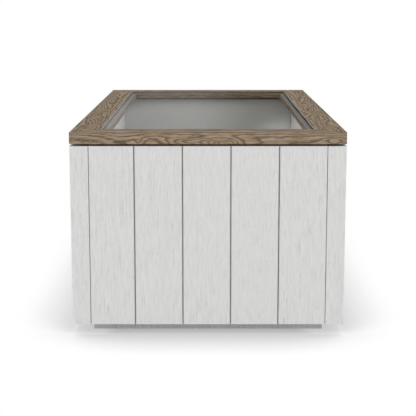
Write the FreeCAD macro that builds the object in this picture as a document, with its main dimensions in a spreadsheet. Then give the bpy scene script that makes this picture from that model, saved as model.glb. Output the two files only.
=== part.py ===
import FreeCAD, Part
import os

import Sketcher

# Coffee table: a box of tongued planks between corner posts, an oak frame with mitred corners
# laid over it, and a glass pane that lies loose in the frame's rebate.
# Frame: +X across the table, +Y along it, +Z up, origin on the floor under the middle.

# Driving dimensions in millimetres.
SIZES = {
    "width": 600,            # over all, across the table
    "length": 1200,          # over all, along the table
    "height": 450,           # floor to the top of the frame and the glass
    "plinth_height": 22,     # floor to the underside of the walls
    "plinth_inset": 43,      # plinth face behind the face of the walls
    "plinth_thick": 18,      # thickness of the plinth boards
    "block_side": 36,        # glue blocks in the plinth's corners, square in plan
    "block_lift": 4,         # underside of the glue blocks above the floor
    "plank_setback": 1,      # plank faces behind the faces of the posts
    "plank_thick": 18,       # thickness of the wall planks
    "core_thick": 15,        # thickness of the core rails behind the planks
    "core_tall": 45,         # height of the core rails
    "lining_thick": 6,       # thickness of the inner linings
    "lining_play": 0.9,      # open joint between a lining and the post at its end
    "end_planks": 5,         # planks in each short wall
    "side_planks": 11,       # planks in each long wall
    "first_trim": 4.8,       # what is ripped off a wall's first plank, beside the post on its left
    "last_trim": 1.2,        # what is ripped off a wall's last plank, beside the post on its right
    "joint_gap": 2.2,        # open gap between two planks, in front of the tongue
    "joint_chamfer": 1.6,    # chamfer of the plank faces along that gap
    "seam_gap": 1.2,         # open gap between a post and the plank beside it
    "seam_chamfer": 0.5,     # eased edges along that gap
    "tongue_thick": 6,       # thickness of the tongues, in the middle of the planks
    "tongue_long": 7,        # how far a tongue stands out
    "joint_play": 0.2,       # room round a tongue in its groove, and between plank backs
    "post_round": 1.5,       # rounding of the posts' outer corners
    "bottom_thick": 18,      # thickness of the bottom board
    "shadow_gap": 4.5,       # open gap between the walls and the frame
    "frame_thick": 26,       # thickness of the frame
    "rail_width": 78,        # width of the frame rails, with the ledge
    "rail_block": 45,        # outer part of a rail that has the full thickness
    "rebate_width": 16,      # ledge that the glass lies over
    "ledge_thick": 11,       # thickness of that ledge
    "rail_round": 1.2,       # rounding of the rails' long edges
    "glass_thick": 6,        # thickness of the pane
    "glass_play": 1.5,       # room round the pane in the rebate
    "glass_corner": 3,       # corner radius of the pane
    "glass_arris": 1,        # ground edge of the pane
    "tape_width": 10,        # width of the glazing tape
    "tape_thick": 1,         # thickness of the glazing tape
    "tape_inset": 1,         # tape behind the inner edge of the ledge
    "spline_thick": 4,       # thickness of the loose tongues in the mitres
    "spline_start": 15,      # first point of a spline slot, in from both outer faces
    "spline_stop": 40,       # last point of a spline slot, in from both outer faces
    "spline_reach": 12,      # depth of a spline slot, square to the mitre
    "spline_play": 0.1,      # room round a spline in its slot
    "dowel_bore": 8,         # diameter of the dowel holes
    "dowel_play": 0.1,       # how much thinner than its hole a dowel is
    "dowel_depth": 15,       # depth of the dowel holes in a core rail and in the frame
    "dowel_margin": 90,      # first dowel from the post
    "end_dowels": 2,         # dowels in each short wall
    "side_dowels": 4,        # dowels in each long wall
}

doc = FreeCAD.newDocument("coffee_table")
sheet = doc.addObject("Spreadsheet::Sheet", "sizes")
for row, (alias, size) in enumerate(SIZES.items(), start=1):
    sheet.set(f"A{row}", alias)
    sheet.set(f"B{row}", str(size))
    sheet.setAlias(f"B{row}", alias)
doc.recompute()

# Heights and depths that follow from the driving dimensions.
POST_SIDE = "(sizes.plank_setback + sizes.plank_thick + sizes.core_thick + sizes.lining_thick)"
FRAME_UNDERSIDE = "(sizes.height - sizes.frame_thick)"
WALL_TALL = f"({FRAME_UNDERSIDE} - sizes.shadow_gap - sizes.plinth_height)"
FLOOR_TOP = "(sizes.plinth_height + sizes.bottom_thick)"
PLANK_BACK = "(sizes.plank_setback + sizes.plank_thick)"
CORE_BACK = f"({PLANK_BACK} + sizes.core_thick)"
CORE_MIDDLE = f"({PLANK_BACK} + sizes.core_thick / 2)"
TONGUE_FACE = "((sizes.plank_thick - sizes.tongue_thick) / 2)"
TONGUE_BACK = f"({TONGUE_FACE} + sizes.tongue_thick)"
GROOVE_FACE = f"({TONGUE_FACE} - sizes.joint_play)"
GROOVE_BACK = f"({TONGUE_BACK} + sizes.joint_play)"
GROOVE_DEEP = "(sizes.tongue_long + sizes.joint_play)"
REBATE_DEEP = "(sizes.glass_thick + sizes.tape_thick)"
REBATE_START = "(sizes.rail_width - sizes.rebate_width)"
RELIEF_DEEP = f"(sizes.frame_thick - {REBATE_DEEP} - sizes.ledge_thick)"
LEDGE_TOP = f"(sizes.height - {REBATE_DEEP})"
SPLINE_MIDDLE = "(sizes.frame_thick / 2)"

# Each wall is drawn as the front wall, with its face at minus half of "across", and turned about
# the middle of the table: the turn in degrees, its own length, and the size square to it.
WALLS = {
    "front": (0, "sizes.width", "sizes.length", "end"),
    "right": (90, "sizes.length", "sizes.width", "side"),
    "rear": (180, "sizes.width", "sizes.length", "end"),
    "left": (270, "sizes.length", "sizes.width", "side"),
}
POST_NAMES = {
    "front": "front_left_post",
    "right": "front_right_post",
    "rear": "rear_right_post",
    "left": "rear_left_post",
}
CORNERS = {"front_left": (-1, -1), "front_right": (1, -1), "rear_right": (1, 1), "rear_left": (-1, 1)}

NODES = []


def value(expression):
    """The number that an expression of the sheet gives now."""
    return float(sheet.evalExpression(expression))


def new_body(label, turn=0, base_z="0"):
    """A body turned about the vertical through the table's middle, with its base at a height."""
    body = doc.addObject("PartDesign::Body", label)
    body.Label = label
    body.Placement.Rotation = FreeCAD.Rotation(FreeCAD.Vector(0, 0, 1), turn)
    body.setExpression("Placement.Base.z", base_z)
    NODES.append(body)
    return body


def plan_sketch(body, name, height="0"):
    """An empty sketch in plan, at a height above the body's base."""
    sketch = body.newObject("Sketcher::SketchObject", f"{body.Name}_{name}")
    plane = next(item for item in body.Origin.OriginFeatures if item.Role == "XY_Plane")
    sketch.AttachmentSupport = [(plane, "")]
    sketch.MapMode = "FlatFace"
    sketch.setExpression("AttachmentOffset.Base.z", height)
    return sketch


def bind(sketch, kind, *place_and_expression):
    """A constraint whose value follows an expression."""
    *place, expression = place_and_expression
    index = sketch.addConstraint(Sketcher.Constraint(kind, *place, value(expression)))
    sketch.setExpression(f"Constraints[{index}]", expression)


def draw_outline(sketch, corners):
    """A closed outline of straight lines. Each corner is a pair of expressions."""
    points = [FreeCAD.Vector(value(x), value(y), 0) for x, y in corners]
    first = sketch.GeometryCount
    count = len(points)
    for index in range(count):
        sketch.addGeometry(Part.LineSegment(points[index], points[(index + 1) % count]))
    for index, (x, y) in enumerate(corners):
        line = first + index
        following = first + (index + 1) % count
        sketch.addConstraint(Sketcher.Constraint("Coincident", line, 2, following, 1))
        bind(sketch, "DistanceX", -1, 1, line, 1, x)
        bind(sketch, "DistanceY", -1, 1, line, 1, y)


def draw_circle(sketch, x, y, diameter):
    """A circle whose centre and diameter are expressions."""
    centre = FreeCAD.Vector(value(x), value(y), 0)
    circle = sketch.addGeometry(Part.Circle(centre, FreeCAD.Vector(0, 0, 1), value(diameter) / 2))
    bind(sketch, "DistanceX", -1, 1, circle, 3, x)
    bind(sketch, "DistanceY", -1, 1, circle, 3, y)
    bind(sketch, "Diameter", circle, diameter)


def pad(body, sketch, tall):
    """Raise the sketch upwards into a solid."""
    feature = body.newObject("PartDesign::Pad", f"{sketch.Name}_pad")
    feature.Profile = sketch
    feature.setExpression("Length", tall)
    doc.recompute()
    return feature


def pocket(body, sketch, deep):
    """Cut the sketch upwards from its own height, and stop if nothing was cut."""
    before = body.Shape.Volume
    feature = body.newObject("PartDesign::Pocket", f"{sketch.Name}_pocket")
    feature.Profile = sketch
    feature.Reversed = True
    feature.setExpression("Length", deep)
    doc.recompute()
    if not body.Shape.Volume < before:
        raise RuntimeError(f"{feature.Name} cuts nothing")
    return feature


def round_edges(body, base, chosen, kind, size):
    """Round or chamfer those edges of the last feature that the test picks."""
    names = [f"Edge{index}" for index, edge in enumerate(base.Shape.Edges, start=1) if chosen(edge)]
    if not names:
        raise RuntimeError(f"{body.Label} has no such edge to ease")
    feature = body.newObject(f"PartDesign::{kind}", f"{body.Name}_{kind}_{base.Name}")
    feature.Base = (base, names)
    feature.setExpression("Radius" if kind == "Fillet" else "Size", size)
    doc.recompute()
    return feature


def near(first, second):
    """Whether two lengths are the same."""
    return abs(first - second) < 1e-6


def span_of(run):
    """Clear width of a wall between its two posts."""
    return f"({run} - 2 * {POST_SIDE})"


def box_corners(left, right, low, high):
    """A rectangle from four expressions."""
    return [(left, low), (right, low), (right, high), (left, high)]


def mitred_corners(run, across, start, wide):
    """A bar along a wall with mitred ends: its outer face lies "start" in from the wall's face."""
    outer = f"({run} / 2 - {start})"
    inner = f"({run} / 2 - {start} - {wide})"
    face = f"(-{across} / 2 + {start})"
    back = f"(-{across} / 2 + {start} + {wide})"
    return [(f"-{outer}", face), (outer, face), (inner, back), (f"-{inner}", back)]


def tongued_edge(gap, chamfer):
    """A plank's edge from face to back, as (distance in from the edge, depth)."""
    return [
        (f"({gap} + {chamfer})", "0"),
        (gap, chamfer),
        (gap, TONGUE_FACE),
        ("-sizes.tongue_long", TONGUE_FACE),
        ("-sizes.tongue_long", TONGUE_BACK),
        ("0", TONGUE_BACK),
        ("0", "sizes.plank_thick"),
    ]


def grooved_edge():
    """The other edge of a plank, which takes its neighbour's tongue."""
    return [
        ("sizes.joint_chamfer", "0"),
        ("0", "sizes.joint_chamfer"),
        ("0", GROOVE_FACE),
        (GROOVE_DEEP, GROOVE_FACE),
        (GROOVE_DEEP, GROOVE_BACK),
        ("0", GROOVE_BACK),
        ("0", "sizes.plank_thick"),
    ]


def make_planks(side):
    """The planks of one wall, tongued and grooved, with tongues into both posts."""
    turn, run, across, kind = WALLS[side]
    count = round(value(f"sizes.{kind}_planks"))
    half_span = f"({span_of(run)} / 2)"
    pitch = f"(({span_of(run)} + sizes.first_trim + sizes.last_trim) / {count})"
    face = f"(-{across} / 2 + sizes.plank_setback)"
    post_edge = tongued_edge("sizes.seam_gap", "sizes.seam_chamfer")
    for number in range(count):
        left = f"(-{half_span} - sizes.first_trim + {number} * {pitch} + sizes.joint_play)"
        right = f"(-{half_span} - sizes.first_trim + {number + 1} * {pitch})"
        left_edge = grooved_edge()
        right_edge = tongued_edge("sizes.joint_gap", "sizes.joint_chamfer")
        if number == 0:
            left = f"(-{half_span})"
            left_edge = post_edge
        if number == count - 1:
            right = half_span
            right_edge = post_edge
        outline = [(f"{left} + {inward}", f"{face} + {deep}") for inward, deep in left_edge]
        outline += [(f"{right} - {inward}", f"{face} + {deep}") for inward, deep in reversed(right_edge)]
        body = new_body(f"{side}_plank_{number + 1}", turn, "sizes.plinth_height")
        sketch = plan_sketch(body, "section")
        draw_outline(sketch, outline)
        pad(body, sketch, WALL_TALL)


def make_post(side):
    """The post at a wall's left end, grooved on two faces for the tongues of both walls."""
    turn, run, across, _ = WALLS[side]
    groove_start = f"(sizes.plank_setback + {GROOVE_FACE})"
    groove_stop = f"(sizes.plank_setback + {GROOVE_BACK})"
    groove_end = f"({POST_SIDE} - {GROOVE_DEEP})"
    section = [
        ("0", "0"),
        (POST_SIDE, "0"),
        (POST_SIDE, groove_start),
        (groove_end, groove_start),
        (groove_end, groove_stop),
        (POST_SIDE, groove_stop),
        (POST_SIDE, POST_SIDE),
        (groove_stop, POST_SIDE),
        (groove_stop, groove_end),
        (groove_start, groove_end),
        (groove_start, POST_SIDE),
        ("0", POST_SIDE),
    ]
    body = new_body(POST_NAMES[side], turn, "sizes.plinth_height")
    sketch = plan_sketch(body, "section")
    draw_outline(sketch, [(f"-{run} / 2 + {x}", f"-{across} / 2 + {y}") for x, y in section])
    post = pad(body, sketch, WALL_TALL)
    corner_x = -value(run) / 2
    corner_y = -value(across) / 2

    def outer_corner(edge):
        return all(near(v.X, corner_x) and near(v.Y, corner_y) for v in edge.Vertexes)

    round_edges(body, post, outer_corner, "Fillet", "sizes.post_round")


def dowel_places(side):
    """Centres of a wall's dowels along it, as expressions."""
    _, run, _, kind = WALLS[side]
    count = round(value(f"sizes.{kind}_dowels"))
    reach = f"({span_of(run)} / 2 - sizes.dowel_margin)"
    return [f"({reach} * {2 * number / (count - 1) - 1})" for number in range(count)]


def make_core_rail(side):
    """The rail behind the plank tops: it carries the frame and stands proud of the walls."""
    turn, run, across, _ = WALLS[side]
    half_span = f"({span_of(run)} / 2)"
    body = new_body(f"{side}_core_rail", turn, f"{FRAME_UNDERSIDE} - sizes.core_tall")
    sketch = plan_sketch(body, "section")
    face = f"(-{across} / 2 + {PLANK_BACK})"
    draw_outline(sketch, box_corners(f"-{half_span}", half_span, face, f"{face} + sizes.core_thick"))
    pad(body, sketch, "sizes.core_tall")
    holes = plan_sketch(body, "dowel_holes", "sizes.core_tall - sizes.dowel_depth")
    for along in dowel_places(side):
        draw_circle(holes, along, f"-{across} / 2 + {CORE_MIDDLE}", "sizes.dowel_bore")
    pocket(body, holes, "sizes.dowel_depth")


def make_lining(side):
    """The thin panel that faces the display compartment."""
    turn, run, across, _ = WALLS[side]
    half_span = f"({span_of(run)} / 2 - sizes.lining_play)"
    body = new_body(f"{side}_lining", turn, FLOOR_TOP)
    sketch = plan_sketch(body, "section")
    face = f"(-{across} / 2 + {CORE_BACK})"
    draw_outline(sketch, box_corners(f"-{half_span}", half_span, face, f"{face} + sizes.lining_thick"))
    pad(body, sketch, f"{FRAME_UNDERSIDE} - {FLOOR_TOP}")


def make_plinth_board(side):
    """One mitred board of the plinth."""
    turn, run, across, _ = WALLS[side]
    body = new_body(f"{side}_plinth_board", turn)
    sketch = plan_sketch(body, "section")
    draw_outline(sketch, mitred_corners(run, across, "sizes.plinth_inset", "sizes.plinth_thick"))
    pad(body, sketch, "sizes.plinth_height")


def make_bottom_board():
    """The floor of the compartment, notched round the posts and held between the planks."""
    wide = f"(sizes.width / 2 - {PLANK_BACK})"
    long = f"(sizes.length / 2 - {PLANK_BACK})"
    notch_x = f"(sizes.width / 2 - {POST_SIDE})"
    notch_y = f"(sizes.length / 2 - {POST_SIDE})"
    quarter = [(notch_x, long), (notch_x, notch_y), (wide, notch_y)]
    outline = list(quarter)
    outline += [(x, f"-{y}") for x, y in reversed(quarter)]
    outline += [(f"-{x}", f"-{y}") for x, y in quarter]
    outline += [(f"-{x}", y) for x, y in reversed(quarter)]
    body = new_body("bottom_board", 0, "sizes.plinth_height")
    sketch = plan_sketch(body, "outline")
    draw_outline(sketch, outline)
    pad(body, sketch, "sizes.bottom_thick")


def make_top_rail(side):
    """One mitred rail of the frame: rebated for the glass, relieved below the ledge, slotted for
    the splines in its mitres and bored for the dowels."""
    turn, run, across, _ = WALLS[side]
    body = new_body(f"{side}_top_rail", turn, FRAME_UNDERSIDE)
    plan = plan_sketch(body, "plan")
    draw_outline(plan, mitred_corners(run, across, "0", "sizes.rail_width"))
    pad(body, plan, "sizes.frame_thick")

    rebate = plan_sketch(body, "rebate", f"sizes.frame_thick - {REBATE_DEEP}")
    rebate_face = f"-{across} / 2 + {REBATE_START}"
    inner_edge = f"-{across} / 2 + sizes.rail_width"
    draw_outline(rebate, box_corners(f"-{run} / 2", f"{run} / 2", rebate_face, inner_edge))
    pocket(body, rebate, REBATE_DEEP)

    relief = plan_sketch(body, "relief")
    relief_face = f"-{across} / 2 + sizes.rail_block"
    draw_outline(relief, box_corners(f"-{run} / 2", f"{run} / 2", relief_face, inner_edge))
    relieved = pocket(body, relief, RELIEF_DEEP)

    outer_y = -value(across) / 2
    rebate_y = value(rebate_face)
    top_z = value("sizes.frame_thick")

    def long_arris(edge):
        first, last = edge.Vertexes[0], edge.Vertexes[-1]
        along = not near(first.X, last.X) and near(first.Y, last.Y) and near(first.Z, last.Z)
        return along and (near(first.Y, outer_y) or near(first.Y, rebate_y) and near(first.Z, top_z))

    round_edges(body, relieved, long_arris, "Fillet", "sizes.rail_round")

    slots = plan_sketch(body, "spline_slots", f"{SPLINE_MIDDLE} - sizes.spline_thick / 2")
    square = "(sizes.spline_reach / sqrt(2))"
    for end in (-1, 1):
        slot = [
            (f"sizes.spline_start - {square}", f"sizes.spline_start + {square}"),
            (f"sizes.spline_start + {square}", f"sizes.spline_start - {square}"),
            (f"sizes.spline_stop + {square}", f"sizes.spline_stop - {square}"),
            (f"sizes.spline_stop - {square}", f"sizes.spline_stop + {square}"),
        ]
        draw_outline(slots, [(f"{end} * ({run} / 2 - ({x}))", f"-{across} / 2 + {y}") for x, y in slot])
    pocket(body, slots, "sizes.spline_thick")

    holes = plan_sketch(body, "dowel_holes")
    for along in dowel_places(side):
        draw_circle(holes, along, f"-{across} / 2 + {CORE_MIDDLE}", "sizes.dowel_bore")
    pocket(body, holes, "sizes.dowel_depth")


def make_glass_pane():
    """The pane, with rounded corners and ground edges, flush with the frame."""
    wide = f"(sizes.width / 2 - {REBATE_START} - sizes.glass_play)"
    long = f"(sizes.length / 2 - {REBATE_START} - sizes.glass_play)"
    body = new_body("glass_pane", 0, "sizes.height - sizes.glass_thick")
    sketch = plan_sketch(body, "outline")
    draw_outline(sketch, box_corners(f"-{wide}", wide, f"-{long}", long))
    pane = pad(body, sketch, "sizes.glass_thick")

    def upright(edge):
        return not near(edge.Vertexes[0].Z, edge.Vertexes[-1].Z)

    rounded = round_edges(body, pane, upright, "Fillet", "sizes.glass_corner")

    def level(edge):
        return all(near(v.Z, edge.Vertexes[0].Z) for v in edge.Vertexes)

    round_edges(body, rounded, level, "Chamfer", "sizes.glass_arris")


def add_solid(kind, name, sizes, place, turn=0):
    """A primitive with its sizes and place bound to the sheet."""
    solid = doc.addObject(kind, name)
    for property_name, expression in sizes.items():
        solid.setExpression(property_name, expression)
    solid.Placement.Rotation = FreeCAD.Rotation(FreeCAD.Vector(0, 0, 1), turn)
    for axis, expression in zip("xyz", place):
        solid.setExpression(f"Placement.Base.{axis}", expression)
    return solid


def group(label, solids):
    """Several separate solids of one kind as one sub-part."""
    compound = doc.addObject("Part::Compound", label)
    compound.Label = label
    compound.Links = solids
    NODES.append(compound)


def make_plinth_blocks():
    """Square glue blocks in the plinth's corners, up against the bottom board."""
    sizes = {
        "Length": "sizes.block_side",
        "Width": "sizes.block_side",
        "Height": "sizes.plinth_height - sizes.block_lift",
    }
    inside = "(sizes.plinth_inset + sizes.plinth_thick)"
    blocks = []
    for corner, (x_sign, y_sign) in CORNERS.items():
        place = []
        for sign, overall in ((x_sign, "width"), (y_sign, "length")):
            wall = f"(sizes.{overall} / 2 - {inside})"
            place.append(f"-{wall}" if sign < 0 else f"{wall} - sizes.block_side")
        blocks.append(add_solid("Part::Box", f"{corner}_block", sizes, (*place, "sizes.block_lift")))
    group("plinth_blocks", blocks)


def make_mitre_splines():
    """Loose tongues that lie across the mitres, half in each rail."""
    long = "(sqrt(2) * (sizes.spline_stop - sizes.spline_start) - 2 * sizes.spline_play)"
    wide = "(2 * sizes.spline_reach - 2 * sizes.spline_play)"
    thick = "(sizes.spline_thick - 2 * sizes.spline_play)"
    sizes = {"Length": long, "Width": wide, "Height": thick}
    middle = "((sizes.spline_start + sizes.spline_stop) / 2)"
    base_z = f"{FRAME_UNDERSIDE} + {SPLINE_MIDDLE} - {thick} / 2"
    splines = []
    for corner, (x_sign, y_sign) in CORNERS.items():
        turn = 45 if x_sign == y_sign else -45
        tilt = 1 if turn > 0 else -1
        centre_x = f"{x_sign} * (sizes.width / 2 - {middle})"
        centre_y = f"{y_sign} * (sizes.length / 2 - {middle})"
        corner_x = f"{centre_x} - ({long} - {tilt} * {wide}) / (2 * sqrt(2))"
        corner_y = f"{centre_y} - ({tilt} * {long} + {wide}) / (2 * sqrt(2))"
        place = (corner_x, corner_y, base_z)
        splines.append(add_solid("Part::Box", f"{corner}_spline", sizes, place, turn))
    group("mitre_splines", splines)


def make_frame_dowels():
    """Dowels from the core rails up into the frame."""
    sizes = {
        "Radius": "(sizes.dowel_bore - sizes.dowel_play) / 2",
        "Height": "2 * sizes.dowel_depth - 2 * sizes.dowel_play",
    }
    base_z = f"{FRAME_UNDERSIDE} - sizes.dowel_depth + sizes.dowel_play"
    dowels = []
    for side, (turn, _, across, _) in WALLS.items():
        inward = f"({across} / 2 - {CORE_MIDDLE})"
        for number, along in enumerate(dowel_places(side), start=1):
            place = {
                0: (along, f"-{inward}"),
                90: (inward, along),
                180: (f"-{along}", inward),
                270: (f"-{inward}", f"-{along}"),
            }[turn]
            dowels.append(add_solid("Part::Cylinder", f"{side}_dowel_{number}", sizes, (*place, base_z)))
    group("frame_dowels", dowels)


def make_glazing_tape():
    """Strips of soft tape along the ledge, which the pane lies on."""
    outer_x = "(sizes.width / 2 - sizes.rail_width + sizes.tape_inset + sizes.tape_width)"
    outer_y = "(sizes.length / 2 - sizes.rail_width + sizes.tape_inset + sizes.tape_width)"
    end_strip = {
        "Length": f"2 * {outer_x}",
        "Width": "sizes.tape_width",
        "Height": "sizes.tape_thick",
    }
    side_strip = {
        "Length": "sizes.tape_width",
        "Width": f"2 * {outer_y} - 2 * sizes.tape_width",
        "Height": "sizes.tape_thick",
    }
    rear_y = f"{outer_y} - sizes.tape_width"
    right_x = f"{outer_x} - sizes.tape_width"
    side_y = f"sizes.tape_width - {outer_y}"
    strips = [
        add_solid("Part::Box", "front_tape", end_strip, (f"-{outer_x}", f"-{outer_y}", LEDGE_TOP)),
        add_solid("Part::Box", "rear_tape", end_strip, (f"-{outer_x}", rear_y, LEDGE_TOP)),
        add_solid("Part::Box", "left_tape", side_strip, (f"-{outer_x}", side_y, LEDGE_TOP)),
        add_solid("Part::Box", "right_tape", side_strip, (right_x, side_y, LEDGE_TOP)),
    ]
    group("glazing_tape", strips)


for wall in WALLS:
    make_post(wall)
    make_planks(wall)
    make_core_rail(wall)
    make_lining(wall)
    make_plinth_board(wall)
    make_top_rail(wall)
make_bottom_board()
make_plinth_blocks()
make_mitre_splines()
make_frame_dowels()
make_glazing_tape()
make_glass_pane()
doc.recompute()

for item in doc.Objects:
    if "Invalid" in item.State or "Error" in item.State:
        raise RuntimeError(f"{item.Label} failed to build")
for node in NODES:
    if node.Shape.isNull() or not node.Shape.isValid():
        raise RuntimeError(f"{node.Label} has no valid shape")

os.makedirs("parts", exist_ok=True)
for node in NODES:
    node.Shape.exportStep(f"parts/{node.Label}.step")
print(f"{len(NODES)} sub-parts written")
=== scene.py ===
import math

import bpy
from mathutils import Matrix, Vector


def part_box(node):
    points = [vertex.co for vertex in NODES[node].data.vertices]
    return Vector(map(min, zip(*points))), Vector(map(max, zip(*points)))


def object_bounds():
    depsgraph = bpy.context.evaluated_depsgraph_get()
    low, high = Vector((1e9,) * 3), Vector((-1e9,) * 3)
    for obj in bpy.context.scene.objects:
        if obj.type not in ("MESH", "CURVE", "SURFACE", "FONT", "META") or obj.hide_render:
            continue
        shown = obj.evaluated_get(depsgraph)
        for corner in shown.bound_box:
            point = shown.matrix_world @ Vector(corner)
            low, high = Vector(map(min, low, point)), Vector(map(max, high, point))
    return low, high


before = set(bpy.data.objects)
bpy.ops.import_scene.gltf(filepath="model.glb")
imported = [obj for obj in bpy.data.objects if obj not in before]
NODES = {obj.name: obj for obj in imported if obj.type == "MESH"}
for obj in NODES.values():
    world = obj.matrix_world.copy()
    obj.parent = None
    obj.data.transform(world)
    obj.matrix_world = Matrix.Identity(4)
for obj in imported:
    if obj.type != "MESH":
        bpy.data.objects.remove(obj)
cad_low, cad_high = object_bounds()

MM = 0.001
QUARTER = math.pi / 2
INVERSE_E = 1 / math.e
WHITE = (1.0, 1.0, 1.0, 1.0)

# Sizes of the table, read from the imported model
HALF_WIDTH = cad_high.x
HALF_LENGTH = cad_high.y
FRAME_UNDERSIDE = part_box("front_top_rail")[0].z
GLASS_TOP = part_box("glass_pane")[1].z

# Each wall, with the quarter turns that bring the front wall to it and how far out it stands
WALLS = {
    "front": (0, HALF_LENGTH),
    "right": (1, HALF_WIDTH),
    "rear": (2, HALF_LENGTH),
    "left": (3, HALF_WIDTH),
}
PLANKS = {"front": 5, "right": 11, "rear": 5, "left": 11}
POSTS = ("front_left_post", "front_right_post", "rear_right_post", "rear_left_post")

# The photograph's camera: where it stands, how far it looks down and its lens
CAMERA_PLACE = (0.0, -3.106, 0.731)
CAMERA_DOWN = math.radians(10.11)
CAMERA_LENS = 101.08
CAMERA_SENSOR = 36.0
CAMERA_REACH = 10000.0


def linear(hex_colour):
    """An sRGB colour such as "#dcdcda" as the linear colour that a socket takes."""
    channels = []
    for start in (1, 3, 5):
        level = int(hex_colour[start:start + 2], 16) / 255
        channels.append(level / 12.92 if level <= 0.04045 else ((level + 0.055) / 1.055) ** 2.4)
    return (*channels, 1.0)


def add_node(tree, kind, sockets=None, stops=None, **settings):
    """Adds one node. A socket takes a plain value or another node's output, and stops fill a colour ramp."""
    node = tree.nodes.new(kind)
    for name, setting in settings.items():
        setattr(node, name, setting)
    for socket, source in (sockets or {}).items():
        if isinstance(source, bpy.types.NodeSocket):
            tree.links.new(source, node.inputs[socket])
        else:
            node.inputs[socket].default_value = source
    if stops:
        ramp = node.color_ramp.elements
        while len(ramp) < len(stops):
            ramp.new(1.0)
        for element, (place, hex_colour) in zip(ramp, stops):
            element.position = place
            element.color = linear(hex_colour)
    return node


def new_material(name):
    """An empty node material, and the place of each point of the piece that wears it."""
    material = bpy.data.materials.new(name)
    material.use_nodes = True
    tree = material.node_tree
    tree.nodes.clear()
    place = add_node(tree, "ShaderNodeTexCoord").outputs["Object"]
    return material, tree, place


def paint(node_name, material):
    """Gives a CAD node its finish."""
    slots = NODES[node_name].material_slots
    for slot in slots:
        slot.material = material
    if not slots:
        NODES[node_name].data.materials.append(material)


# Whitewashed wood: planed softwood under thin brushed-on white stain. The eye sees an almost even, chalky
# off-white, with faint upright streaks where the grain takes less of the stain. The brush hardly reaches
# into the joints, so they stay a duller grey. Each coat has its thinnest, usual and thickest tone.
WALL_COAT = ("#cecdca", "#dddddc", "#e3e3e2")
# Board coat: a darker copy of the wall wash, painted shade for the end linings and the bottom board inside
# the box
SHADED_BOARD_COAT = ("#cbcbca", "#d1d1d0", "#d6d6d5")
# Side board coat: a whiter copy of the wall wash, painted light for the side linings inside the box
LIT_SIDE_BOARD_COAT = ("#e2e2e0", "#f0f0ef", "#f5f5f4")
# Plinth coat: a darker copy of the wall wash, painted shade for the plinth set in under the walls
SHADED_PLINTH_COAT = ("#b9b9b7", "#c5c5c4", "#cdcdcc")
COAT_STOPS = (0.30, 0.46, 0.62)
WASH_RUBBED = "#b9b4aa"
JOINT_WASH = "#adaba7"
BRUSHED_DEEP = 2.6 * MM
DULL_DEEP = 4.0 * MM
WASH_ROUGHNESS = 0.62
WASH_RELIEF = 0.25
BRUSH_MARK_DEEP = 0.3 * MM

# Grain under the wash: how wide and long its marks are, and how finely they break up
STREAK = (3.0 * MM, 34 * MM, 3.0)
FIGURE = (16 * MM, 260 * MM, 2.0)
PORE = (1.1 * MM, 10 * MM, 1.0)
GRAIN_BREAKS = 0.6
PLANK_SHIFT = (7.31, 3.17, 5.53)

# Streaks grow from faint to full over this range of the figure, and pores open over this range of their own
FIGURE_RANGE = (0.30, 0.70)
STREAK_FAINT = 0.35
PORE_RANGE = (0.60, 0.72)
PORE_SHOWS = 0.35
BOARD_STREAKS = 0.5


def whitewashed_wood(name, seed, coat=WALL_COAT, streaks=1.0, dull_joints=True):
    """Whitewash on wood with upright grain. The seed shifts the grain, so that no two planks are alike."""
    material, tree, place = new_material(name)
    grains = []
    for wide, long, detail in (STREAK, FIGURE, PORE):
        stretched = add_node(tree, "ShaderNodeMapping", {
            "Vector": place, "Location": [seed * step for step in PLANK_SHIFT],
            "Scale": (1 / wide, 1 / wide, 1 / long)})
        grain = add_node(tree, "ShaderNodeTexNoise", {
            "Vector": stretched.outputs[0], "Scale": 1.0, "Detail": detail, "Roughness": GRAIN_BREAKS})
        grains.append(grain.outputs["Fac"])
    streak, figure, pore = grains
    wash = add_node(tree, "ShaderNodeValToRGB", {"Fac": streak}, stops=list(zip(COAT_STOPS, coat)))
    depth = add_node(tree, "ShaderNodeMapRange", {
        "Value": figure, "From Min": FIGURE_RANGE[0], "From Max": FIGURE_RANGE[1],
        "To Min": STREAK_FAINT * streaks, "To Max": streaks})
    coated = add_node(tree, "ShaderNodeMix", {
        0: depth.outputs[0], 6: linear(coat[1]), 7: wash.outputs["Color"]}, data_type="RGBA")
    open_pore = add_node(tree, "ShaderNodeMapRange", {
        "Value": pore, "From Min": PORE_RANGE[0], "From Max": PORE_RANGE[1],
        "To Min": 0.0, "To Max": PORE_SHOWS * streaks})
    colour = add_node(tree, "ShaderNodeMix", {
        0: open_pore.outputs[0], 6: coated.outputs[2], 7: linear(WASH_RUBBED)}, data_type="RGBA")
    if dull_joints:
        outward = add_node(tree, "ShaderNodeVectorMath", {0: place}, operation="ABSOLUTE")
        inward = add_node(tree, "ShaderNodeVectorMath", {
            0: (HALF_WIDTH, HALF_LENGTH, 0.0), 1: outward.outputs[0]}, operation="SUBTRACT")
        sides = add_node(tree, "ShaderNodeSeparateXYZ", {0: inward.outputs[0]}).outputs
        behind_face = add_node(tree, "ShaderNodeMath", {0: sides["X"], 1: sides["Y"]}, operation="MINIMUM")
        dull = add_node(tree, "ShaderNodeMapRange", {
            "Value": behind_face.outputs[0], "From Min": BRUSHED_DEEP, "From Max": DULL_DEEP})
        colour = add_node(tree, "ShaderNodeMix", {
            0: dull.outputs[0], 6: colour.outputs[2], 7: linear(JOINT_WASH)}, data_type="RGBA")
    relief = add_node(tree, "ShaderNodeBump", {
        "Height": streak, "Strength": WASH_RELIEF, "Distance": BRUSH_MARK_DEEP})
    shader = add_node(tree, "ShaderNodeBsdfPrincipled", {
        "Base Color": colour.outputs[2], "Roughness": WASH_ROUGHNESS, "Normal": relief.outputs[0]})
    add_node(tree, "ShaderNodeOutputMaterial", {"Surface": shader.outputs[0]})
    return material


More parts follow.
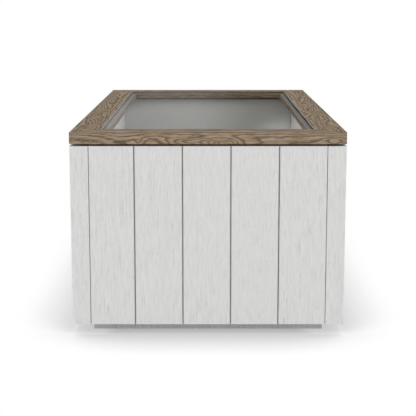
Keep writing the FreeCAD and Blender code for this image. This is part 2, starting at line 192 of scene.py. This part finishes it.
# Smoked oak: brushed, matt-oiled, flat-sawn boards. The eye sees grey-brown wood with darker growth rings,
# which run along each rail in wavy lines and close up into arches and eyes, and fine dark streaks of pores.
OAK_LIGHT = "#ab9984"
OAK_MID = "#9b8a74"
OAK_DARK = "#766551"
OAK_PORE = "#5c4d3e"
OAK_ROUGHNESS = 0.75
OAK_GLOSS = 0.01
OAK_RELIEF = 0.3
OAK_GRAIN_DEEP = 0.3 * MM

# One growth ring from its start to its end, and how high the first ring of a board rises
RING_TONES = [
    (0.0, OAK_DARK),
    (0.12, OAK_DARK),
    (0.34, OAK_MID),
    (0.60, OAK_LIGHT),
    (0.84, OAK_LIGHT),
    (1.0, OAK_DARK),
]
RING_UP = 14 * MM
RING_START = 0.6
RAIL_SHIFT = (4.7, 9.1, 2.3)

# Open pores: their size along the rail, across its top and up its face, in millimetres, and how they show
OAK_PORE_SIZE = (36, 2.8, 2.3)
OAK_PORE_RANGE = (0.42, 0.68)
OAK_PORE_SHOWS = 0.6

# Grain of each rail: the width of a growth ring on its top, then two kinds of waviness, each with its size
# along the rail, across its top and up its face, in millimetres, and the rings that it moves
OAK_GRAIN = {
    "front": (40, [(40, 16, 6, 0.22), (12, 7, 3, 0.18)]),
    "right": (9, [(240, 15, 15, 0.8), (80, 8, 8, 0.3)]),
    "rear": (30, [(40, 16, 6, 0.3), (12, 7, 3, 0.2)]),
    "left": (9, [(190, 18, 18, 0.6), (60, 8, 8, 0.25)]),
}

# Arches and eyes in the grain: where they lie along the rail, in from its outer face and up from its
# underside, how far they reach back along it, on along it, across its top and up its face, in millimetres,
# and the rings that they add
OAK_FIGURES = {
    "front": [
        (-285, 0, 5, 45, 45, 20, 4, 0.22),
        (-300, 0, 20, 60, 60, 20, 6, -0.65),
        (-187, 0, 6, 40, 40, 20, 20, 1.45),
        (-149, 0, 6, 9, 11, 20, 9, 1.1),
        (-118, 0, 4, 24, 24, 20, 12, -0.45),
        (-45, 0, 5, 48, 65, 20, 9, 3.2),
        (30, 0, 0, 46, 34, 20, 15, 3.4),
        (30, 0, 0, 46, 105, 20, 14, 2.4),
        (30, 0, 0, 13, 13, 20, 10, 1.6),
        (100, 0, 7, 24, 24, 20, 6, 0.36),
        (161, 0, 0, 13, 13, 20, 12, 0.6),
        (215, 0, 6, 26, 26, 20, 6, 0.42),
        (258, 0, 11, 18, 18, 20, 5, -0.3),
        (275, 0, 9, 20, 20, 20, 8, -1.2),
    ],
    "right": [
        (-420, 22, 26, 90, 90, 16, 20, -2.0),
        (-179, 48, 26, 60, 60, 12, 20, 1.6),
        (60, 30, 26, 110, 110, 16, 20, 2.0),
        (330, 8, 26, 130, 130, 38, 20, 2.6),
        (520, 0, 26, 70, 70, 40, 20, 1.8),
    ],
    "rear": [
        (-210, 0, 10, 30, 30, 20, 5, 1.4),
        (-60, 0, 0, 20, 110, 20, 15, 5.0),
        (90, 0, 12, 22, 22, 20, 6, 1.2),
        (215, 0, 0, 40, 40, 20, 12, 2.0),
    ],
    "left": [
        (205, 25, 26, 90, 90, 15, 20, 3.2),
        (-190, 24, 26, 60, 140, 16, 20, 2.2),
        (450, 30, 26, 90, 90, 16, 20, -2.0),
        (-430, 28, 26, 150, 150, 15, 20, 2.4),
    ],
}


def smoked_oak(wall, seed):
    """Oak whose rings follow one rail: X along it, Y in from its outer face and Z up from its underside."""
    material, tree, place = new_material(f"smoked_oak_{wall}")
    turns, stands_out = WALLS[wall]
    ring_across, waves = OAK_GRAIN[wall]
    board = add_node(tree, "ShaderNodeMapping", {
        "Vector": place, "Rotation": (0, 0, -turns * QUARTER),
        "Location": (0, stands_out, -FRAME_UNDERSIDE)}).outputs[0]
    axes = add_node(tree, "ShaderNodeSeparateXYZ", {0: board}).outputs
    height = add_node(tree, "ShaderNodeMath", {
        0: axes["Z"], 1: 1 / RING_UP}, operation="MULTIPLY").outputs[0]
    lying = add_node(tree, "ShaderNodeMath", {
        0: height, 1: height, 2: RING_START}, operation="MULTIPLY_ADD")
    rings = add_node(tree, "ShaderNodeMath", {
        0: axes["Y"], 1: 1 / (ring_across * MM), 2: lying.outputs[0]}, operation="MULTIPLY_ADD").outputs[0]
    for along, inward, up, back, on, across, high, added in OAK_FIGURES[wall]:
        local = add_node(tree, "ShaderNodeMapping", {
            "Vector": board, "Location": (along * MM, inward * MM, up * MM),
            "Scale": (on * MM, across * MM, high * MM)}, vector_type="TEXTURE")
        sides = add_node(tree, "ShaderNodeSeparateXYZ", {0: local.outputs[0]}).outputs
        behind = add_node(tree, "ShaderNodeMath", {0: sides["X"], 1: -on / back}, operation="MULTIPLY")
        reach = add_node(tree, "ShaderNodeMath", {0: sides["X"], 1: behind.outputs[0]}, operation="MAXIMUM")
        from_middle = add_node(tree, "ShaderNodeCombineXYZ", {
            "X": reach.outputs[0], "Y": sides["Y"], "Z": sides["Z"]}).outputs[0]
        distance = add_node(tree, "ShaderNodeVectorMath", {
            0: from_middle, 1: from_middle}, operation="DOT_PRODUCT")
        swell = add_node(tree, "ShaderNodeMath", {
            0: INVERSE_E, 1: distance.outputs["Value"]}, operation="POWER")
        rings = add_node(tree, "ShaderNodeMath", {
            0: swell.outputs[0], 1: added, 2: rings}, operation="MULTIPLY_ADD").outputs[0]
    for long, across, high, moved in waves:
        stretched = add_node(tree, "ShaderNodeMapping", {
            "Vector": board, "Location": [seed * step for step in RAIL_SHIFT],
            "Scale": [1 / (side * MM) for side in (long, across, high)]})
        noise = add_node(tree, "ShaderNodeTexNoise", {
            "Vector": stretched.outputs[0], "Scale": 1.0, "Detail": 1.0}, normalize=False)
        rings = add_node(tree, "ShaderNodeMath", {
            0: noise.outputs["Fac"], 1: moved, 2: rings}, operation="MULTIPLY_ADD").outputs[0]
    ring = add_node(tree, "ShaderNodeMath", {0: rings}, operation="FRACT")
    grown = add_node(tree, "ShaderNodeValToRGB", {"Fac": ring.outputs[0]}, stops=RING_TONES)
    fibres = add_node(tree, "ShaderNodeMapping", {
        "Vector": board, "Scale": [1 / (side * MM) for side in OAK_PORE_SIZE]})
    pores = add_node(tree, "ShaderNodeTexNoise", {
        "Vector": fibres.outputs[0], "Scale": 1.0, "Detail": 2.0})
    open_pore = add_node(tree, "ShaderNodeMapRange", {
        "Value": pores.outputs["Fac"], "From Min": OAK_PORE_RANGE[0], "From Max": OAK_PORE_RANGE[1],
        "To Min": 0.0, "To Max": OAK_PORE_SHOWS})
    colour = add_node(tree, "ShaderNodeMix", {
        0: open_pore.outputs[0], 6: grown.outputs["Color"], 7: linear(OAK_PORE)}, data_type="RGBA")
    relief = add_node(tree, "ShaderNodeBump", {
        "Height": colour.outputs[2], "Strength": OAK_RELIEF, "Distance": OAK_GRAIN_DEEP})
    shader = add_node(tree, "ShaderNodeBsdfPrincipled", {
        "Base Color": colour.outputs[2], "Roughness": OAK_ROUGHNESS, "Specular IOR Level": OAK_GLOSS,
        "Normal": relief.outputs[0]})
    add_node(tree, "ShaderNodeOutputMaterial", {"Surface": shader.outputs[0]})
    return material


# Float glass: clear, flat and polished, with its two long edges ground. The eye sees through it, sees the
# room mirrored in it at a low angle, and sees a pale frosted line along each ground edge and a greenish line
# along each short edge.
GLASS_TINT = "#fdfdfc"
GLASS_EDGE_TINT = "#cbcfcd"
GLASS_END_TINT = "#dbe0dd"
GLASS_GROUND = "#f2f5f4"
GLASS_IOR = 1.5
GLASS_ROUGHNESS = 0.0
GROUND_DEEP = 3.2 * MM
GROUND_COVER = 0.75
EDGE_SLOPE = 0.5
MIRROR_BEND = 0.7
MIRROR_SHARE = 0.52


def float_glass(name):
    """A thin clear pane: mirroring, and the short edges' tint, are gathered on the face that is met first."""
    material, tree, place = new_material(name)
    mirror = add_node(tree, "ShaderNodeFresnel", {"IOR": GLASS_IOR})
    bent = add_node(tree, "ShaderNodeMath", {0: mirror.outputs[0], 1: MIRROR_BEND}, operation="POWER")
    geometry = add_node(tree, "ShaderNodeNewGeometry").outputs
    met_first = add_node(tree, "ShaderNodeMath", {
        0: 1.0, 1: geometry["Backfacing"]}, operation="SUBTRACT").outputs[0]
    mirroring = add_node(tree, "ShaderNodeMath", {0: bent.outputs[0], 1: met_first}, operation="MULTIPLY")
    share = add_node(tree, "ShaderNodeMath", {
        0: mirroring.outputs[0], 1: MIRROR_SHARE}, operation="MULTIPLY")
    facing = add_node(tree, "ShaderNodeSeparateXYZ", {0: geometry["Normal"]}).outputs
    sideways = add_node(tree, "ShaderNodeMath", {0: facing["X"]}, operation="ABSOLUTE")
    long_edge = add_node(tree, "ShaderNodeMath", {
        0: sideways.outputs[0], 1: EDGE_SLOPE}, operation="GREATER_THAN").outputs[0]
    endways = add_node(tree, "ShaderNodeMath", {0: facing["Y"]}, operation="ABSOLUTE")
    end_first = add_node(tree, "ShaderNodeMath", {0: endways.outputs[0], 1: met_first}, operation="MULTIPLY")
    short_edge = add_node(tree, "ShaderNodeMath", {
        0: end_first.outputs[0], 1: EDGE_SLOPE}, operation="GREATER_THAN").outputs[0]
    clear = add_node(tree, "ShaderNodeMix", {
        0: short_edge, 6: linear(GLASS_TINT), 7: linear(GLASS_END_TINT)}, data_type="RGBA")
    tint = add_node(tree, "ShaderNodeMix", {
        0: long_edge, 6: clear.outputs[2], 7: linear(GLASS_EDGE_TINT)}, data_type="RGBA")
    through = add_node(tree, "ShaderNodeBsdfTransparent", {"Color": tint.outputs[2]})
    gloss = add_node(tree, "ShaderNodeBsdfGlossy", {"Color": WHITE, "Roughness": GLASS_ROUGHNESS})
    pane = add_node(tree, "ShaderNodeMixShader", {
        0: share.outputs[0], 1: through.outputs[0], 2: gloss.outputs[0]})
    height = add_node(tree, "ShaderNodeSeparateXYZ", {0: place}).outputs["Z"]
    band = add_node(tree, "ShaderNodeMath", {
        0: height, 1: GLASS_TOP - GROUND_DEEP}, operation="GREATER_THAN")
    ground_edge = add_node(tree, "ShaderNodeMath", {
        0: band.outputs[0], 1: long_edge}, operation="MULTIPLY")
    cover = add_node(tree, "ShaderNodeMath", {
        0: ground_edge.outputs[0], 1: GROUND_COVER}, operation="MULTIPLY")
    ground = add_node(tree, "ShaderNodeBsdfDiffuse", {"Color": linear(GLASS_GROUND)})
    whole = add_node(tree, "ShaderNodeMixShader", {
        0: cover.outputs[0], 1: pane.outputs[0], 2: ground.outputs[0]})
    add_node(tree, "ShaderNodeOutputMaterial", {"Surface": whole.outputs[0]})
    return material


# Glazing tape: closed-cell foam strip. The eye sees a dull grey with a fine speckle of cells.
TAPE_TONES = [(0.4, "#999998"), (0.6, "#a8a8a6")]
TAPE_ROUGHNESS = 0.9
CELL_SIZE = 1.5 * MM


def foam_tape(name):
    """Grey foam, speckled by its cells."""
    material, tree, place = new_material(name)
    cells = add_node(tree, "ShaderNodeTexNoise", {"Vector": place, "Scale": 1 / CELL_SIZE, "Detail": 2.0})
    colour = add_node(tree, "ShaderNodeValToRGB", {"Fac": cells.outputs["Fac"]}, stops=TAPE_TONES)
    shader = add_node(tree, "ShaderNodeBsdfPrincipled", {
        "Base Color": colour.outputs["Color"], "Roughness": TAPE_ROUGHNESS})
    add_node(tree, "ShaderNodeOutputMaterial", {"Surface": shader.outputs[0]})
    return material


# Beech: unfinished for the pieces inside, and stained dark for the rails that show in the shadow gap, a dark
# tone that
# # paints extra shade into that gap. The eye sees plain wood with short darker flecks.
BARE_TONES = [(0.42, "#c9a883"), (0.62, "#b08b66")]
SHADE_STAINED_TONES = [(0.42, "#75634f"), (0.62, "#5f4f3c")]
BEECH_ROUGHNESS = 0.6
FLECK_WIDE = 1.5 * MM
FLECK_LONG = 12 * MM


def beech_wood(name, tones):
    """Beech with its flecks."""
    material, tree, place = new_material(name)
    stretched = add_node(tree, "ShaderNodeMapping", {
        "Vector": place, "Scale": (1 / FLECK_LONG, 1 / FLECK_WIDE, 1 / FLECK_WIDE)})
    fleck = add_node(tree, "ShaderNodeTexNoise", {
        "Vector": stretched.outputs[0], "Scale": 1.0, "Detail": 2.0})
    colour = add_node(tree, "ShaderNodeValToRGB", {"Fac": fleck.outputs["Fac"]}, stops=tones)
    shader = add_node(tree, "ShaderNodeBsdfPrincipled", {
        "Base Color": colour.outputs["Color"], "Roughness": BEECH_ROUGHNESS})
    add_node(tree, "ShaderNodeOutputMaterial", {"Surface": shader.outputs[0]})
    return material


# Finishes of the walls, the plinth and the inside
seed = 0
for wall, count in PLANKS.items():
    for number in range(1, count + 1):
        seed += 1
        paint(f"{wall}_plank_{number}", whitewashed_wood(f"whitewashed_wood_{wall}_{number}", seed))
for post in POSTS:
    seed += 1
    paint(post, whitewashed_wood(f"whitewashed_wood_{post}", seed))
# The plinth wears the darker copy of the wash, painted shade for its place under the overhang
shaded_plinth_finish = whitewashed_wood("whitewashed_wood_plinth_painted_shade", seed + 1, SHADED_PLINTH_COAT, dull_joints=False)
# The end linings and the bottom board wear the darker copy of the wash, painted shade for the inside of the
# box
shaded_end_finish = whitewashed_wood("whitewashed_board", seed + 2, SHADED_BOARD_COAT, BOARD_STREAKS, dull_joints=False)
# The side linings wear the whiter copy of the wash, painted light
lit_side_finish = whitewashed_wood(
    "whitewashed_side_board_painted_light", seed + 3, LIT_SIDE_BOARD_COAT, BOARD_STREAKS, dull_joints=False)
bare_beech = beech_wood("planed_beech", BARE_TONES)
shade_stained_beech = beech_wood("shade_stained_beech", SHADE_STAINED_TONES)
for wall in WALLS:
    paint(f"{wall}_plinth_board", shaded_plinth_finish)
    paint(f"{wall}_lining", lit_side_finish if wall in ("left", "right") else shaded_end_finish)
    # The core rails wear the dark beech, painted shade for the shadow gap
    paint(f"{wall}_core_rail", shade_stained_beech)
paint("bottom_board", shaded_end_finish)
for hidden in ("plinth_blocks", "mitre_splines", "frame_dowels"):
    paint(hidden, bare_beech)

# Finishes of the frame, its glass and the tape under the glass
for number, wall in enumerate(WALLS, start=1):
    paint(f"{wall}_top_rail", smoked_oak(wall, number))
paint("glass_pane", float_glass("float_glass"))
paint("glazing_tape", foam_tape("glazing_foam"))

# Studio floor: white paper. What looks at it sees it glowing white, with a painted soft shadow from ambient
# occlusion close
# # to the table, and painted light, set by position, that makes the shadow weaker under and beside the
# table's long sides.
FLOOR_SIDE = 8000.0
FLOOR_MIDDLE = 40.0
PAPER = "#e1e1e1"
SHADOW_REACH = 0.25
SHADOW_SAMPLES = 16
SHADOW_TONES = [
    (0.0, "#aaaaaa"),
    (0.12, "#b8b8b8"),
    (0.54, "#d0d0d0"),
    (0.65, "#e2e2e2"),
    (0.78, "#f4f4f4"),
    (0.87, "#ffffff"),
]

# Painted light under the long sides, set by position on the floor: the side that it is measured along, where
# it is least,
# # where it is full and its least share
PAINTED_SIDE_LIGHT = 0.30
PAINTED_SIDE_LIGHT_REACH = [
    ("X", HALF_WIDTH - 105 * MM, HALF_WIDTH - 55 * MM, 0.0),
    ("X", HALF_WIDTH + 12 * MM, HALF_WIDTH - 25 * MM, 0.17),
    ("Y", HALF_LENGTH + 11 * MM, HALF_LENGTH - 20 * MM, 0.0),
]
bpy.ops.object.select_all(action="DESELECT")
bpy.ops.mesh.primitive_plane_add(size=FLOOR_SIDE)
floor = bpy.context.object
floor.name = "studio_floor"
bpy.ops.object.mode_set(mode="EDIT")
bpy.ops.mesh.inset(thickness=(FLOOR_SIDE - FLOOR_MIDDLE) / 2)
bpy.ops.object.mode_set(mode="OBJECT")
paper, tree, place = new_material("white_paper")
light_path = add_node(tree, "ShaderNodeLightPath").outputs
mirrored = add_node(tree, "ShaderNodeMath", {
    0: light_path["Is Glossy Ray"], 1: light_path["Is Transmission Ray"]}, operation="MAXIMUM")
looked_at = add_node(tree, "ShaderNodeMath", {
    0: light_path["Is Camera Ray"], 1: mirrored.outputs[0]}, operation="MAXIMUM")
openness = add_node(tree, "ShaderNodeAmbientOcclusion", {"Distance": SHADOW_REACH}, samples=SHADOW_SAMPLES)
outward = add_node(tree, "ShaderNodeVectorMath", {0: place}, operation="ABSOLUTE")
sides = add_node(tree, "ShaderNodeSeparateXYZ", {0: outward.outputs[0]}).outputs
painted_side_light = PAINTED_SIDE_LIGHT
for side, dark, bright, least in PAINTED_SIDE_LIGHT_REACH:
    share = add_node(tree, "ShaderNodeMapRange", {
        "Value": sides[side], "From Min": dark, "From Max": bright, "To Min": least},
        interpolation_type="SMOOTHSTEP")
    painted_side_light = add_node(tree, "ShaderNodeMath", {
        0: share.outputs[0], 1: painted_side_light}, operation="MULTIPLY").outputs[0]
lightened = add_node(tree, "ShaderNodeMath", {0: openness.outputs["AO"], 1: painted_side_light}, operation="ADD")
shade = add_node(tree, "ShaderNodeValToRGB", {"Fac": lightened.outputs[0]}, stops=SHADOW_TONES)
lit = add_node(tree, "ShaderNodeBsdfDiffuse", {"Color": linear(PAPER)})
seen = add_node(tree, "ShaderNodeEmission", {"Color": shade.outputs["Color"]})
shown = add_node(tree, "ShaderNodeMixShader", {
    0: looked_at.outputs[0], 1: lit.outputs[0], 2: seen.outputs[0]})
add_node(tree, "ShaderNodeOutputMaterial", {"Surface": shown.outputs[0]})
floor.data.materials.append(paper)

# Studio light: soft boxes all round from the floor to half height, under a dim ceiling. Behind the table
# they have a long opening to a dim room, darker on its right, which the glass mirrors. Heights and bearings
# are the parts of a direction of length 1.
SOFT_BOXES = 2.2
SOFT_BOX_TONES = [
    (0.0, "#e8e8e8"),
    (0.25, "#e2e2e2"),
    (0.5, "#d4d4d4"),
    (0.75, "#d6d6d6"),
    (1.0, "#dcdcdc"),
]
SOFT_BOX_TOP = 0.50
CEILING_EDGE = 0.66
CEILING = 0.35
ROOM_FOOT = 0.03
ROOM_BOTTOM = 0.065
ROOM_TOP = 0.16
SOFT_BOX_FOOT = 0.30
ROOM_EDGE = 0.75
ROOM_FULL = 0.95
ROOM_LEFT = 0.36
ROOM_RIGHT = 0.015
DARK_STARTS = -0.02
DARK_FULL = 0.045
RISE_STARTS = 0.080
RISE_FULL = 0.094
RISE_FROM = 0.42

# Soft lamps: one low on the left, a weaker one low on the right and a small one in the room. Each has its
# direction, how far it spreads and how bright it is.
LAMPS = [
    ((-0.93, 0.22, 0.30), (0.25, 0.45, 0.14), 2.0),
    ((0.94, 0.20, 0.28), (0.20, 0.45, 0.14), 1.6),
    ((0.059, 0.992, 0.110), (0.015, 1.0, 0.009), 0.42),
]
world = bpy.data.worlds.new("studio")
world.use_nodes = True
sky = world.node_tree
sky.nodes.clear()
direction = add_node(sky, "ShaderNodeTexCoord").outputs["Generated"]
towards = add_node(sky, "ShaderNodeSeparateXYZ", {0: direction}).outputs
sideways = add_node(sky, "ShaderNodeMapRange", {"Value": towards["X"], "From Min": -1.0, "From Max": 1.0})
boxes = add_node(sky, "ShaderNodeValToRGB", {"Fac": sideways.outputs[0]}, stops=SOFT_BOX_TONES)
box_light = add_node(sky, "ShaderNodeMath", {
    0: boxes.outputs["Color"], 1: SOFT_BOXES}, operation="MULTIPLY")
overhead = add_node(sky, "ShaderNodeMapRange", {
    "Value": towards["Z"], "From Min": SOFT_BOX_TOP, "From Max": CEILING_EDGE},
    interpolation_type="SMOOTHSTEP")
studio = add_node(sky, "ShaderNodeMix", {0: overhead.outputs[0], 2: box_light.outputs[0], 3: CEILING})
dim = add_node(sky, "ShaderNodeMapRange", {
    "Value": towards["X"], "From Min": DARK_STARTS, "From Max": DARK_FULL,
    "To Min": ROOM_LEFT, "To Max": ROOM_RIGHT}, interpolation_type="SMOOTHSTEP")
rising = add_node(sky, "ShaderNodeMapRange", {
    "Value": towards["Z"], "From Min": RISE_STARTS, "From Max": RISE_FULL,
    "To Min": RISE_FROM, "To Max": 1.0}, interpolation_type="SMOOTHSTEP")
room = add_node(sky, "ShaderNodeMath", {0: dim.outputs[0], 1: rising.outputs[0]}, operation="MULTIPLY")
behind = add_node(sky, "ShaderNodeMapRange", {
    "Value": towards["Y"], "From Min": ROOM_EDGE, "From Max": ROOM_FULL}, interpolation_type="SMOOTHSTEP")
low = add_node(sky, "ShaderNodeMapRange", {
    "Value": towards["Z"], "From Min": SOFT_BOX_FOOT, "From Max": ROOM_TOP}, interpolation_type="SMOOTHSTEP")
off_floor = add_node(sky, "ShaderNodeMapRange", {
    "Value": towards["Z"], "From Min": ROOM_FOOT, "From Max": ROOM_BOTTOM}, interpolation_type="SMOOTHSTEP")
level_with = add_node(sky, "ShaderNodeMath", {
    0: low.outputs[0], 1: off_floor.outputs[0]}, operation="MULTIPLY")
in_room = add_node(sky, "ShaderNodeMath", {
    0: behind.outputs[0], 1: level_with.outputs[0]}, operation="MULTIPLY")
light = add_node(sky, "ShaderNodeMix", {
    0: in_room.outputs[0], 2: studio.outputs[0], 3: room.outputs[0]}).outputs[0]
for aim, spread, level in LAMPS:
    from_lamp = add_node(sky, "ShaderNodeMapping", {
        "Vector": direction, "Location": aim, "Scale": spread}, vector_type="TEXTURE").outputs[0]
    distance = add_node(sky, "ShaderNodeVectorMath", {0: from_lamp, 1: from_lamp}, operation="DOT_PRODUCT")
    glow = add_node(sky, "ShaderNodeMath", {0: INVERSE_E, 1: distance.outputs["Value"]}, operation="POWER")
    light = add_node(sky, "ShaderNodeMath", {
        0: glow.outputs[0], 1: level, 2: light}, operation="MULTIPLY_ADD").outputs[0]
background = add_node(sky, "ShaderNodeBackground", {"Color": WHITE, "Strength": light})
add_node(sky, "ShaderNodeOutputWorld", {"Surface": background.outputs[0]})
scene = bpy.context.scene
scene.world = world
scene.view_settings.view_transform = "Standard"

# Camera at the photograph's place
lens = bpy.data.cameras.new("camera")
lens.lens = CAMERA_LENS
lens.sensor_width = CAMERA_SENSOR
lens.clip_end = CAMERA_REACH
camera = bpy.data.objects.new("camera", lens)
camera.location = CAMERA_PLACE
camera.rotation_euler = (QUARTER - CAMERA_DOWN, 0.0, 0.0)
scene.collection.objects.link(camera)
scene.camera = camera
